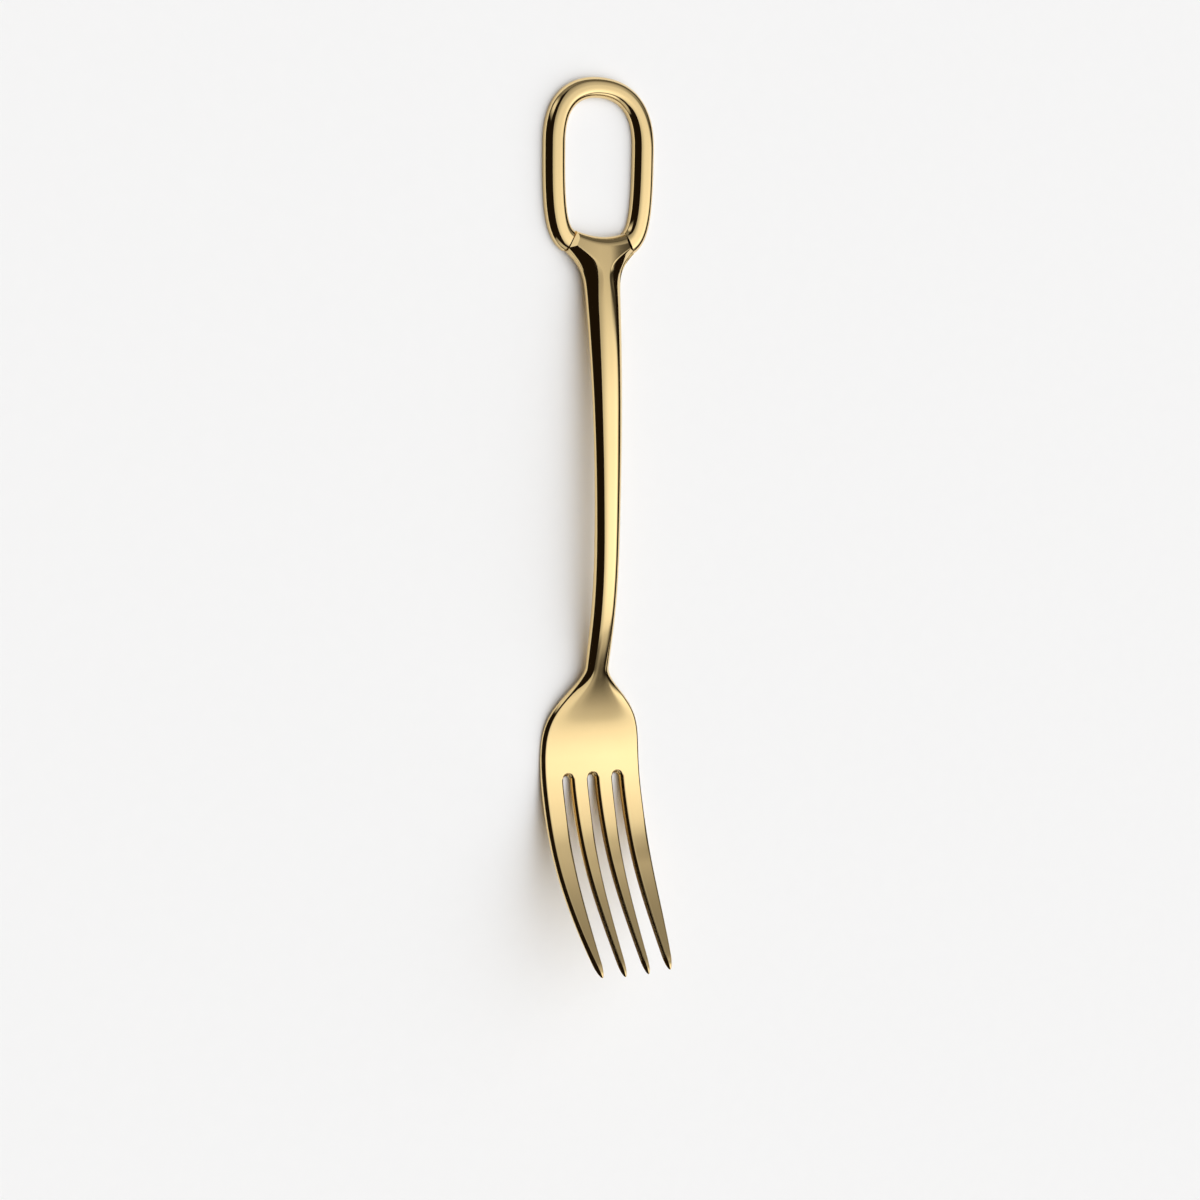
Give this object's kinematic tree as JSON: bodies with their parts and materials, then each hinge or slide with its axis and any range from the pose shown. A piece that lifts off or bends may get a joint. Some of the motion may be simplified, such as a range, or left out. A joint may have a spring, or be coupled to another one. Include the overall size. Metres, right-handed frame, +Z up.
{
  "type": "table fork",
  "caption": "Gold-finished table fork with curved tines, a slender arched handle and an oblong loop at the handle's end, for eating at table.",
  "frame": {"origin": "middle of the fork's length and width, on the table that it lies on", "axes": "+Y along the fork from the tines to the loop, +Z up from the table out of the fork's front, +X to the right seen from the front with the loop up"},
  "size_m": [0.0294, 0.2018, 0.0216],
  "materials": {
    "gold_polish": "mirror-polished stainless steel with a pale gold coating",
    "dowel_steel": "plain drawn steel, hidden in the joints"
  },
  "bodies": {
    "root": {"fork_body": "gold_polish", "ring_bow": "gold_polish", "left_dowel": "dowel_steel", "right_dowel": "dowel_steel"}
  },
  "joints": []
}
